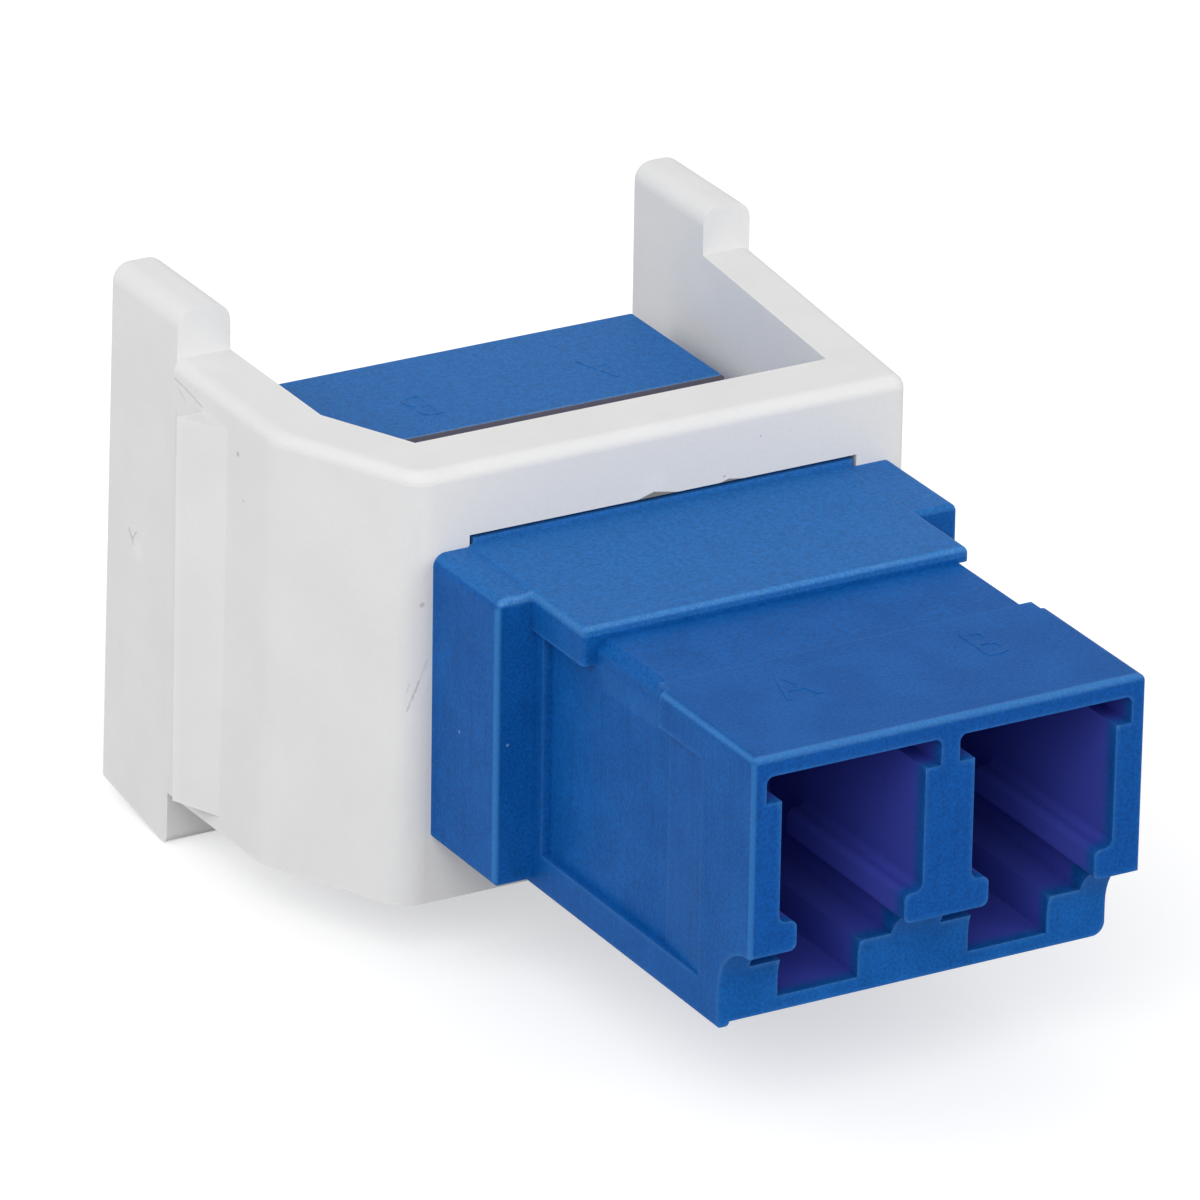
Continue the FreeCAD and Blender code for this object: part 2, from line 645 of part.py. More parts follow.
def soften_walls(body, top, half_spread):
    """Round the U's bends and its upper edges."""
    bend = FRAME_FRONT + size("chamfer_run")
    left = beyond("left_outside") + half_spread
    fillet(body, "outer_bend", size("bend_radius"), passes(x=-left, y=bend))
    corner = passes(x=-(beyond("left_corner") + half_spread), y=FRAME_FRONT)
    fillet(body, "left_front_corner", size("corner_radius"), corner)
    fillet(body, "right_front_corner", size("edge_radius"), passes(x=beyond("right_corner"), y=FRAME_FRONT))
    def outer(edge):
        middle = middle_of(edge)
        flat = abs(middle.z - top.number) < NEAR and abs(edge.BoundBox.ZLength) < NEAR
        between = -left.number + 1.0 < middle.x < beyond("right_inside").number
        inside = between and middle.y > FRAME_FRONT.number + 0.5
        chamfer = middle.y < bend.number + 1.0 and middle.x < -beyond("left_corner").number
        return flat and middle.y < -NEAR and (chamfer or not inside)
    fillet(body, "upper_edges", size("edge_radius"), outer)


def soften_lugs(body):
    """Round the lugs' upper and lower edges, then their ends."""
    top, depth = LUG_TOP, size("lug_length")
    bottom, rise = LUG_BOTTOM, size("lug_drop_rise")
    sides = (
        (-1, beyond("left_inside"), beyond("left_plate")),
        (1, beyond("right_inside"), beyond("right_plate")),
    )
    heels = [runs("X", y=ZERO, z=bottom)]
    fillet(body, "lug_heels", size("lug_heel_radius"), *heels)
    uppers = [runs("Y", x=mirrored(x, side), z=top) for side, inner, outer in sides for x in (inner, outer)]
    fillet(body, "lug_edges", size("lug_radius"), *uppers)
    # The rear ends' edges are tangent over the top, so each top edge takes its uprights too.
    ends = [runs("X", y=depth, z=top), runs("X", y=depth, z=bottom + rise)]
    fillet(body, "lug_ends", size("lug_tip_radius"), *ends)


def add_plate(body, word, side, inner, outer, spread):
    """A rear plate whose ends stand above and below the wall as lugs."""
    top, bottom, depth = LUG_TOP, LUG_BOTTOM, size("lug_length")
    section = [
        (mirrored(inner, side), bottom),
        (mirrored(outer + spread, side), bottom),
        (mirrored(outer, side), top),
        (mirrored(inner, side), top),
    ]
    prism(body, f"{word}_plate", "Y", ZERO, depth, section)
    reach = band(side, inner, outer + spread)
    rise = [(ZERO, bottom), (depth, bottom), (depth, bottom + size("lug_drop_rise"))]
    prism(body, f"{word}_plate_bottom", "X", *reach, rise, cut=True)


def add_wedge(body, word, side, wall, lean, spread, top):
    """A ramp on the wall that clips a panel's edge against the lugs."""
    rear = -size("panel_slot")
    front = rear - size("wedge_ramp")
    sections = []
    for out in (spread, ZERO):
        crest = wall + lean * rear + size("wedge_reach") + out / 2
        root = wall + lean * front
        sections.append([
            (mirrored(root + out, side), front),
            (mirrored(crest, side), rear),
            (mirrored(wall - size("lug_thickness") / 4, side), rear),
            (mirrored(wall - size("lug_thickness") / 4, side), front),
        ])
    loft(body, f"{word}_wedge", sections[0], sections[1], FRAME_BOTTOM + size("wedge_foot"), top)


def make_frame():
    body = new_body("mounting_frame")
    spread = size("side_draft")
    top, bottom = FRAME_TOP, FRAME_BOTTOM
    loft(body, "walls", wall_outline(spread), wall_outline(ZERO), bottom, top)
    half = HALF_NOSE + size("window_play")
    sill = WINDOW_SILL
    block(body, "window", (-half, half), (FRAME_FRONT, WALL_BACK), (sill, WINDOW_ROOF), cut=True)
    lean = (beyond("right_outside") - beyond("right_corner")) / size("frame_depth")
    soften_walls(body, top, spread / 2)
    rise = [(FRAME_FRONT, bottom), (ZERO, bottom), (FRAME_FRONT, bottom + size("underside_rise"))]
    reach = (-(beyond("left_outside") + spread), beyond("right_outside"))
    prism(body, "underside", "X", *reach, rise, cut=True)
    left_top = FRAME_TOP - size("wedge_gap")
    right_top = left_top - size("wedge_lower")
    add_wedge(body, "left", -1, beyond("left_outside"), ZERO, spread, left_top)
    add_wedge(body, "right", 1, beyond("right_outside"), lean, ZERO, right_top)
    add_plate(body, "left", -1, beyond("left_inside"), beyond("left_plate"), size("lug_draft"))
    add_plate(body, "right", 1, beyond("right_inside"), beyond("right_plate"), ZERO)
    soften_lugs(body)
    return body


BODIES = [make_front_housing(), make_rear_housing()]
BODIES += [make_sleeve(name, middle) for name, middle in PORTS]
BODIES.append(make_frame())

DOC.recompute()
for item in DOC.Objects:
    if {"Invalid", "Error"} & set(item.State):
        raise RuntimeError(f"{item.Label} failed: {item.State}")
for body in BODIES:
    if body.Shape.isNull() or not body.Shape.isValid():
        raise RuntimeError(f"{body.Label} has no valid shape")

os.makedirs("parts", exist_ok=True)
for body in BODIES:
    body.Shape.exportStep(f"parts/{body.Label}.step")
    print(body.Label, len(body.Shape.Solids), "solid", round(body.Shape.Volume, 3), "mm3")
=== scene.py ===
"""Duplex fibre adapter in a snap-in frame: its plastics, moulded marks and a small studio.

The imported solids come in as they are.  Each operator below finishes one kind of piece, and
main() runs them in order.  Positions in the finishes are in millimetres on the part's own
axes: X across the two ports, Y from the front ports to the rear ones, Z up.
"""

import math

import bpy
from bpy.props import FloatProperty, FloatVectorProperty, PointerProperty
from mathutils import Matrix, Vector


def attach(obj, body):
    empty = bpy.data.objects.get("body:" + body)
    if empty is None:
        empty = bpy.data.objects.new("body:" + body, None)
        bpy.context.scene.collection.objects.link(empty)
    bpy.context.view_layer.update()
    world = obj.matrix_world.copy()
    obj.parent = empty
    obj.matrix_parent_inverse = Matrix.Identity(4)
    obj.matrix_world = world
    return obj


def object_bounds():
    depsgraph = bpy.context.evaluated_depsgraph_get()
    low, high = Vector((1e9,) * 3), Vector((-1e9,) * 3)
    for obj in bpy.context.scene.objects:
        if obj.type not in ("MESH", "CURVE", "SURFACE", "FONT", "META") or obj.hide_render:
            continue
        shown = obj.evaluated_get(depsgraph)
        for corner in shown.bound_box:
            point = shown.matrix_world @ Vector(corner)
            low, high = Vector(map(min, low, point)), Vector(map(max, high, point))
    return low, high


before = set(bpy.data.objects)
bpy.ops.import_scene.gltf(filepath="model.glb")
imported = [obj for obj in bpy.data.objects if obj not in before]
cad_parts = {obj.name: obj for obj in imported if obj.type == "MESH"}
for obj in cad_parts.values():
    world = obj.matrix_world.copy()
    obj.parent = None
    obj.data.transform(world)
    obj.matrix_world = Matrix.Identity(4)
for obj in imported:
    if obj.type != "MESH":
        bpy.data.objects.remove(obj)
CAD_BOX = [list(corner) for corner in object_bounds()]

bl_info = {
    "name": "Duplex Fibre Adapter",
    "version": (1, 0, 0),
    "blender": (4, 5, 0),
    "location": "View3D > Sidebar > Adapter",
    "description": "Finishes, moulded port marks and studio for a duplex fibre adapter",
    "category": "Object",
}

MM = 0.001
WHITE = (1.0, 1.0, 1.0, 1.0)


# ---------------------------------------------------------------- shader building

class Value:
    """What a node's socket gives; on a number, Python's operators add Math nodes."""

    def __init__(self, nodes, socket):
        self.nodes = nodes
        self.socket = socket

    def beside(self, name):
        """Another output of the same node."""
        return Value(self.nodes, self.socket.node.outputs[name])

    def math(self, operation, *terms):
        return self.nodes.add("ShaderNodeMath", {"operation": operation}, dict(enumerate(terms)))

    def __add__(self, other):
        return self.math("ADD", self, other)

    def __sub__(self, other):
        return self.math("SUBTRACT", self, other)

    def __rsub__(self, other):
        return self.math("SUBTRACT", other, self)

    def __mul__(self, other):
        return self.math("MULTIPLY", self, other)

    def __truediv__(self, other):
        return self.math("DIVIDE", self, other)

    def __abs__(self):
        return self.math("ABSOLUTE", self)

    def __or__(self, other):
        """Two masks together: the stronger one at each point."""
        return self.math("MAXIMUM", self, other)

    def __and__(self, other):
        """Two limits together: the lower one at each point."""
        return self.math("MINIMUM", self, other)

    __radd__ = __add__
    __rmul__ = __mul__

    def ramp(self, low, high):
        """0 up to low, 1 from high on, and a soft rise between; high may be the lower one."""
        return self.nodes.add(
            "ShaderNodeMapRange", {"interpolation_type": "SMOOTHSTEP"},
            {0: self, 1: low, 2: high, 3: 0.0, 4: 1.0},
        )


class Nodes:
    """The nodes of a material or of the world, and the one way in which they are added."""

    def __init__(self, owner):
        owner.use_nodes = True
        self.tree = owner.node_tree

    def feed(self, socket, value):
        """Link a value to the socket, or set the socket to a plain one."""
        if isinstance(value, Value):
            self.tree.links.new(value.socket, socket)
        else:
            socket.default_value = value

    def add(self, kind, settings=None, inputs=None, output=0):
        """Add a node: its settings first, then the values or links of its sockets."""
        node = self.tree.nodes.new(kind)
        for name, setting in (settings or {}).items():
            setattr(node, name, setting)
        self.fill(node, inputs or {})
        return Value(self, node.outputs[output])

    def fill(self, node, inputs):
        """Feed a node's sockets, each by its name or number."""
        for name, value in inputs.items():
            self.feed(node.inputs[name], value)

    def seen_directly(self):
        """1 for rays that show the background: from the camera, by reflection or through glass."""
        camera = self.add("ShaderNodeLightPath", output="Is Camera Ray")
        return camera | camera.beside("Is Glossy Ray") | camera.beside("Is Transmission Ray")


class Finish(Nodes):
    """A material for the part, with each point's place in millimetres."""

    def __init__(self, name):
        self.material = bpy.data.materials.new(name)
        super().__init__(self.material)
        place = self.add("ShaderNodeTexCoord", output="Object")
        self.point = self.vector("SCALE", place, scale=1 / MM)
        along = self.add("ShaderNodeSeparateXYZ", inputs={0: self.point})
        self.x, self.y, self.z = (along.beside(axis) for axis in "XYZ")

    def vector(self, operation, *terms, scale=None, output=0):
        inputs = dict(enumerate(terms))
        if scale is not None:
            inputs["Scale"] = scale
        return self.add("ShaderNodeVectorMath", {"operation": operation}, inputs, output)

    def mix(self, factor, first, second):
        """Mix two colours."""
        inputs = {0: factor, 6: opaque(first), 7: opaque(second)}
        return self.add("ShaderNodeMix", {"data_type": "RGBA"}, inputs, output=2)

    def noise(self, size, detail=2.0, rough=0.5, stretch=(1, 1, 1)):
        """Noise from 0 to 1 whose lumps are about size millimetres across."""
        place = self.vector("MULTIPLY", self.point, tuple(1 / (size * part) for part in stretch))
        return self.add(
            "ShaderNodeTexNoise", {"noise_dimensions": "3D"},
            {"Vector": place, "Scale": 1.0, "Detail": detail, "Roughness": rough},
        )

    def unsteady(self, reach, size):
        """The point, pushed about by up to reach millimetres, so that marks aren't ruled."""
        push = self.add(
            "ShaderNodeTexNoise", {"noise_dimensions": "3D"},
            {"Vector": self.point, "Scale": 1 / size, "Detail": 2.0}, output="Color",
        )
        centred = self.vector("SUBTRACT", push, (0.5, 0.5, 0.5))
        return self.vector("ADD", self.point, self.vector("SCALE", centred, scale=2 * reach))

    def spots(self, point, table):
        """Masks of round spots: centre, radius, strength."""
        return [
            self.vector("DISTANCE", point, centre, output="Value").ramp(radius, radius * 0.3) * strength
            for centre, radius, strength in table
        ]

    def stroke(self, point, start, end, width):
        """Mask of a straight mark from start to end; width is half its width."""
        run = Vector(end) - Vector(start)
        offset = self.vector("SUBTRACT", point, start)
        share = self.vector("DOT_PRODUCT", offset, tuple(run / run.length_squared), output="Value")
        held = self.add("ShaderNodeClamp", inputs={0: share})
        nearest = self.vector("SCALE", tuple(run), scale=held)
        return self.vector("DISTANCE", offset, nearest, output="Value").ramp(width, width * 0.2)

    def strokes(self, point, table):
        """Masks of straight marks: start, end, half width, strength."""
        return [self.stroke(point, *mark) * strength for *mark, strength in table]

    def edges(self, reach):
        """Mask of the outward edges, within reach millimetres of them."""
        closed = self.add(
            "ShaderNodeAmbientOcclusion", {"inside": True, "samples": 4},
            {"Distance": reach * MM}, output="AO",
        )
        return 1 - closed

    def shade(self, colour, roughness, relief, depth, specular=0.5):
        """Feed the shader; the relief's full height is depth metres."""
        bump = self.add("ShaderNodeBump", inputs={"Strength": 1.0, "Distance": depth, "Height": relief})
        self.fill(self.tree.nodes["Principled BSDF"], {
            "Base Color": colour,
            "Roughness": roughness,
            "Normal": bump,
            "Specular IOR Level": specular,
        })

    def put_on(self, *nodes):
        for node in nodes:
            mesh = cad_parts[node].data
            mesh.materials.clear()
            mesh.materials.append(self.material)


def opaque(colour):
    """A colour with its alpha, or the link that brings one."""
    return colour if isinstance(colour, Value) else (*tuple(colour)[:3], 1.0)


def shaded(colour, share):
    """A colour made lighter or darker, and never past white."""
    return tuple(min(part * share, 1.0) for part in colour)


def together(masks):
    """Several masks as one: the strongest at each point."""
    whole, *rest = masks
    for mask in rest:
        whole = whole | mask
    return whole


# ---------------------------------------------------------------- sizes and colours

def swatch(name, description, default):
    return FloatVectorProperty(
        name=name, description=description, subtype="COLOR", size=3, min=0, max=1, default=default)


def length(name, description, millimetres):
    return FloatProperty(
        name=name, description=description, unit="LENGTH", min=0, default=millimetres * MM, precision=6)


def factor(name, description, default, low=0):
    return FloatProperty(
        name=name, description=description, subtype="FACTOR", min=low, max=1, default=default)


def power(name, description, watts):
    return FloatProperty(name=name, description=description, unit="POWER", min=0, default=watts)


class FrameSettings(bpy.types.PropertyGroup):
    colour: swatch("Colour", "Frame plastic", (0.735, 0.735, 0.735))
    # Painted light: a lighter, warmer copy of the plastic for the front face.
    front: swatch("Front", "Frame plastic on the front face, a touch warmer", (0.762, 0.750, 0.728))
    scuff: swatch("Scuff", "Dust and scuffs in its scratches", (0.24, 0.235, 0.23))
    torn: swatch("Torn plastic", "Torn places in the window's edge", (0.17, 0.155, 0.125))
    grain: length("Grain", "Width of the fine moulded grain", 0.11)
    relief: length("Relief", "Height of the moulded grain", 0.012)
    roughness: factor("Roughness", "Satin of the frame plastic", 0.56)
    specular: factor("Specular", "Strength of its reflections", 0.3)


class HousingSettings(bpy.types.PropertyGroup):
    colour: swatch("Colour", "Housing plastic", (0.002, 0.088, 0.345))
    # Painted sheen: a paler blue for the saddle, flange and rear tops.
    painted_top_sheen: swatch("Raised tops", "Tone of the saddle, flange and rear top", (0.022, 0.150, 0.440))
    # Painted shade: a darker blue for the end faces round the front and rear ports.
    rims: swatch("Rims", "Tone of the rims round the ports", (0.001, 0.062, 0.290))
    # Painted shade: a purple blue for the plastic inside the ports.
    depth_shade: swatch("Depths", "Housing plastic inside the ports", (0.050, 0.068, 0.40))
    # Painted highlight: the paler blue along the housings' edges.
    edge_highlight: swatch("Worn edge", "Paler plastic along the edges", (0.055, 0.235, 0.56))
    # Painted glints along the edges, and the colour of the dust specks.
    dust_and_glints: swatch("Dust", "Dust on sharp and rubbed edges", (0.22, 0.38, 0.60))
    # A grey-brown band on the rear crown's step.
    step_band: swatch("Grime", "Dusty step behind the frame", (0.185, 0.155, 0.15))
    grain: length("Grain", "Width of the mottle in the plastic", 0.095)
    relief: length("Relief", "Height of the mottle", 0.014)
    roughness: factor("Roughness", "Satin of the housing plastic", 0.47)
    specular: factor("Specular", "Strength of its reflections", 0.09)


class SleeveSettings(bpy.types.PropertyGroup):
    colour: swatch("Colour", "Ceramic of the split sleeves", (0.80, 0.785, 0.74))
    relief: length("Relief", "Height of the grinding marks", 0.002)
    roughness: factor("Roughness", "Polish of the ceramic", 0.2)


class MarkSettings(bpy.types.PropertyGroup):
    height: length("Letter height", "Height of each port letter", 1.7)
    rise: length("Letter rise", "How far each port letter stands up", 0.018)
    width: factor("Letter width", "Share of the letter's plain width", 0.72, low=0.1)


class StudioSettings(bpy.types.PropertyGroup):
    key: power("Key lamp", "Large soft lamp in front on the left", 2.8)
    side: power("Side lamp", "Soft lamp behind on the left", 1.15)
    fill: power("Fill lamp", "Soft lamp in front on the right", 2.1)
    sky: FloatProperty(name="Room light", description="Even light from all round", min=0, default=0.6)
    floor: length("Floor width", "Width of the pale floor", 3000)
    paper: swatch("Floor paper", "Colour of the floor", (0.62, 0.62, 0.62))
    glow: FloatProperty(
        name="Floor glow", description="How much paler the floor is where it is seen",
        min=0, default=0.52)


# ---------------------------------------------------------------- frame plastic

FRAME_FRONT = -10.95
WINDOW_ROOF = 3.54
# scratches in the frame: start, end, half width, strength
FRAME_SCRATCHES = (
    ((-10.40, 2.82, -0.72), (-10.40, 2.60, -1.00), 0.05, 0.55),
    ((-10.40, 2.34, -0.66), (-10.40, 2.58, -0.96), 0.04, 0.45),
    ((-10.40, 2.58, -0.96), (-10.40, 2.52, -1.16), 0.05, 0.40),
    ((-10.36, -0.10, 5.17), (-10.37, -0.95, 5.06), 0.05, 0.34),
    ((-10.37, -0.95, 5.06), (-10.37, -1.85, 4.90), 0.04, 0.40),
    ((-10.38, -0.30, 4.95), (-10.38, -0.75, 4.72), 0.07, 0.16),
    ((-10.39, -0.22, 4.15), (-10.41, -0.26, 2.80), 0.06, 0.13),
    ((-7.82, -10.94, -0.14), (-8.05, -10.90, -0.75), 0.06, 0.15),
    ((-8.05, -10.90, -0.75), (-8.34, -10.72, -1.70), 0.05, 0.42),
    ((-8.30, -10.75, -0.85), (-8.34, -10.72, -1.10), 0.04, 0.22),
)
# specks in the frame: centre, radius, strength
FRAME_SPECKS = (
    ((-10.38, -4.09, 4.26), 0.10, 0.55),
    ((-10.41, -4.50, 2.95), 0.06, 0.45),
    ((-7.97, -10.89, 1.64), 0.11, 0.45),
    ((3.20, FRAME_FRONT, 4.77), 0.05, 0.60),
    ((1.99, FRAME_FRONT, 3.72), 0.05, 0.75),
    ((4.18, FRAME_FRONT, 4.76), 0.04, 0.22),
)
# pale smears in the frame: start, end, half width, strength
FRAME_SMEARS = (
    ((-10.41, 2.50, -1.22), (-10.41, 2.05, -1.35), 0.14, 1.0),
    ((-0.95, FRAME_FRONT, 3.68), (-0.30, FRAME_FRONT, 3.86), 0.16, 0.8),
    ((-7.66, FRAME_FRONT, -0.20), (-7.95, -10.92, -1.10), 0.12, 0.7),
)
# pale round patches in the frame: centre, radius, strength
FRAME_PATCHES = (
    ((-10.41, 2.22, -1.20), 0.42, 1.0),
    ((-0.34, FRAME_FRONT, 4.00), 0.55, 0.8),
)
# torn places in the window's upper edge: left end, peak, right end, height
WINDOW_TEARS = (
    (-0.95, -0.36, 0.50, 0.17),
    (1.82, 2.14, 2.70, 0.09),
)


def torn_place(finish, left, peak, right, height):
    """Mask of a torn place above the window's upper edge, on the frame's front."""
    rise = (finish.x - left) / (peak - left)
    fall = (right - finish.x) / (right - peak)
    slope = rise & fall
    top = WINDOW_ROOF + height * slope
    on_front = finish.y.ramp(FRAME_FRONT + 0.15, FRAME_FRONT + 0.09)
    return (top - finish.z).ramp(0.0, 0.025) * slope.ramp(0.0, 0.08) * on_front


class ADAPTER_OT_frame_finish(bpy.types.Operator):
    """Give the snap-in frame its pale satin plastic, with grain, gate mark and scuffs"""

    bl_idname = "adapter.frame_finish"
    bl_label = "Frame Finish"

    def execute(self, context):
        sizes = context.scene.adapter_frame
        finish = Finish("frame_plastic")
        grain = finish.noise(sizes.grain / MM, detail=3.0, rough=0.6)
        cloud = finish.noise(2.6, detail=3.0)
        flow = finish.noise(0.5, stretch=(1, 1, 9))
        # Mask of the frame's outward edges: below, it paints a highlight on them and makes them less
        # rough.
        edge = finish.edges(0.3).ramp(0.15, 0.75)
        wander = finish.unsteady(0.035, 0.16)
        dark = together(finish.strokes(wander, FRAME_SCRATCHES) + finish.spots(wander, FRAME_SPECKS))
        pale = together(finish.strokes(wander, FRAME_SMEARS) + finish.spots(wander, FRAME_PATCHES))
        tears = together([torn_place(finish, *tear) for tear in WINDOW_TEARS])

        base = tuple(sizes.colour)
        lower = shaded(base, 0.955)
        upper = shaded(base, 1.03)
        # light is a paler copy of the plastic, used for the pale smears and for the painted edge
        # highlight.
        light = shaded(base, 1.09)
        colour = finish.mix(cloud.ramp(0.3, 0.7), lower, upper)
        colour = finish.mix(0.5, colour, base)
        # Painted light: the front face is made a little lighter and warmer than the rest.
        on_front = finish.y.ramp(FRAME_FRONT + 0.15, FRAME_FRONT + 0.02)
        colour = finish.mix(on_front, colour, sizes.front)
        colour = finish.mix(flow.ramp(0.35, 0.75) * 0.16, colour, upper)
        colour = finish.mix(grain.ramp(0.58, 0.30) * 0.28, colour, lower)
        # Painted highlight: the outward edges are made paler.
        colour = finish.mix(edge * 0.35, colour, light)
        colour = finish.mix(pale * 0.55, colour, light)
        colour = finish.mix(dark, colour, sizes.scuff)
        colour = finish.mix(tears * 0.9, colour, sizes.torn)

        roughness = sizes.roughness + grain * 0.10 - edge * 0.10
        finish.shade(colour, roughness, grain * 0.6 + cloud * 0.4, sizes.relief, sizes.specular)
        finish.put_on("mounting_frame")
        return {"FINISHED"}


# ---------------------------------------------------------------- housing plastic

MOUTH_FRONT = -27.1
MOUTH_REAR = 2.2
# how far the sills stand back from the mouths, and the foot of the lips above them
SETBACK = 1.72
LIPS_FOOT = -3.17
# room inside the ports: half width, roof, floor
PORT_ROOM = (6.0, 2.42, -5.6)
NOSE_TOP = 2.945
REAR_TOP = 3.275
# grey-brown band on a step of the rear housing's crown, behind the frame: front, back, foot
CROWN_STEP = (-3.60, -3.30, 2.88)
# edges with a painted highlight: start, end, half width, strength of the highlight, strength of its
# painted glints
HIGHLIT_EDGES = (
    ((-6.40, -17.73, 3.23), (6.10, -17.73, 3.23), 0.14, 0.50, 0.14),
    ((-6.20, -27.06, 2.90), (6.20, -27.06, 2.90), 0.20, 0.48, 0.08),
    ((-6.36, -27.06, 2.70), (-6.36, -27.06, -4.10), 0.14, 0.40, 0.0),
    ((-7.50, -14.70, 3.08), (-6.50, -14.70, 3.08), 0.20, 0.70, 0.20),
    ((-7.62, -14.70, 2.80), (-7.62, -14.70, -5.60), 0.18, 0.55, 0.0),
    ((-6.30, -3.30, 3.26), (6.30, -3.30, 3.26), 0.10, 0.30, 0.25),
    ((-6.36, -21.33, 2.90), (-6.36, -26.90, 2.90), 0.16, 0.50, 0.08),
    ((-6.50, -14.60, 3.15), (-6.50, -17.60, 3.15), 0.16, 0.35, 0.10),
    ((6.40, -27.06, 2.60), (6.40, -27.06, -3.90), 0.12, 0.30, 0.0),
)
# bright specks on the front housing: centre, radius, strength
HOUSING_SPECKS = (
    ((-7.65, -12.60, -1.75), 0.07, 0.6),
    ((-7.25, -14.73, -1.40), 0.07, 0.6),
)


def port_depths(finish):
    """Mask of the room inside the ports; below the lips it starts behind the sills."""
    half, roof, floor = PORT_ROOM
    within = (half - abs(finish.x)).ramp(0.0, 0.05)
    within = within * (roof - finish.z).ramp(0.0, 0.05) * (finish.z - floor).ramp(0.0, 0.05)
    past_front = finish.y - MOUTH_FRONT
    past_rear = MOUTH_REAR - finish.y
    under_lips = finish.z.ramp(LIPS_FOOT, LIPS_FOOT - 0.1)
    past_mouths = past_front.ramp(0.03, 0.8) * past_rear.ramp(0.03, 0.8)
    past_sills = (past_front - SETBACK).ramp(0.04, 0.7) * (past_rear - SETBACK).ramp(0.04, 0.7)
    return within * (past_mouths * (1 - under_lips) + past_sills * under_lips)


def blue_plastic(finish, sizes, outside, mottle, flow):
    """The plain plastic: clouded, with a painted sheen on the tops and painted shade on the rims,
    mottled and streaked.
    """
    cloud = finish.noise(1.7, detail=4.0, rough=0.6)
    red, green, blue = base = tuple(sizes.colour)
    upper = (red + 0.006, min(green * 1.24, 1.0), min(blue * 1.12, 1.0))
    colour = finish.mix(cloud.ramp(0.32, 0.70), shaded(base, 0.78), upper)
    colour = finish.mix(0.62, colour, base)
    # Painted sheen: the tops above the nose are made paler, outside the ports.
    painted_top_sheen = finish.z.ramp(NOSE_TOP + 0.015, NOSE_TOP + 0.075) * outside
    colour = finish.mix(painted_top_sheen * 0.72, colour, sizes.painted_top_sheen)
    # Painted shade: the end faces round the front and rear ports are made darker.
    front_rim_shade = finish.y.ramp(MOUTH_FRONT + 0.06, MOUTH_FRONT + 0.01)
    rear_rim_shade = finish.y.ramp(MOUTH_REAR - 0.06, MOUTH_REAR - 0.01)
    colour = finish.mix((front_rim_shade | rear_rim_shade) * 0.65, colour, sizes.rims)
    speckle = (mottle.ramp(0.30, 0.70) - 0.5) * 0.38
    streak = flow.ramp(0.45, 0.75) * 0.10
    return finish.vector("SCALE", colour, scale=1 + speckle - streak)


def highlit(finish, sizes, colour, sharp):
    """Painted glints on sharp edges, painted highlights along the listed edges, and bright specks of
    dust.
    """
    lumps = finish.noise(0.075, detail=1.0)
    colour = finish.mix(sharp * lumps.ramp(0.46, 0.62) * 0.10, colour, sizes.dust_and_glints)
    broken = lumps.ramp(0.44, 0.62)
    # Painted highlight and painted glints along each listed edge.
    for *line, highlight_strength, glint_strength in HIGHLIT_EDGES:
        mark = finish.stroke(finish.point, *line)
        colour = finish.mix(mark * highlight_strength, colour, sizes.edge_highlight)
        if glint_strength:
            colour = finish.mix(mark * broken * glint_strength, colour, sizes.dust_and_glints)
    return finish.mix(together(finish.spots(finish.point, HOUSING_SPECKS)), colour, sizes.dust_and_glints)


def housing_finish(name, sizes, edge_highlight=True, crown_step_band=False):
    """The housings' satin plastic; the rear one also has a grey-brown band on a step behind the frame.
    """
    finish = Finish(name)
    mottle = finish.noise(sizes.grain / MM, detail=3.0, rough=0.65)
    flow = finish.noise(0.22, detail=3.0, stretch=(1, 1, 14))
    inside = port_depths(finish)
    outside = 1 - inside
    colour = blue_plastic(finish, sizes, outside, mottle, flow)
    if edge_highlight:
        # Painted highlight: the outward edges are made paler, outside the ports.
        closed = finish.edges(0.20)
        colour = finish.mix(closed.ramp(0.10, 0.62) * outside * 0.30, colour, sizes.edge_highlight)
    # Painted shade: the room inside the ports is tinted purple, as it looks in shade.
    colour = finish.mix(inside, colour, sizes.depth_shade)
    if edge_highlight:
        colour = highlit(finish, sizes, colour, closed.ramp(0.34, 0.62) * outside)
    if crown_step_band:
        # A grey-brown band on the crown's step, between its front and back, above its foot.
        front, back, foot = CROWN_STEP
        step = finish.y.ramp(back, back - 0.04) * finish.y.ramp(front, front + 0.10)
        step = step * finish.z.ramp(foot, foot + 0.04)
        colour = finish.mix(step * 0.9, colour, sizes.step_band)

    roughness = sizes.roughness + mottle * 0.10 + inside * 0.05
    finish.shade(colour, roughness, mottle * 0.7 + flow * 0.3, sizes.relief, sizes.specular)
    return finish


class ADAPTER_OT_housing_finish(bpy.types.Operator):
    """Give both housings their mottled blue plastic, with painted highlights along the edges"""

    bl_idname = "adapter.housing_finish"
    bl_label = "Housing Finish"

    def execute(self, context):
        sizes = context.scene.adapter_housing
        housing_finish("housing_plastic_front", sizes).put_on("front_housing")
        housing_finish("housing_plastic_rear", sizes, crown_step_band=True).put_on("rear_housing")
        return {"FINISHED"}


# ---------------------------------------------------------------- sleeve ceramic

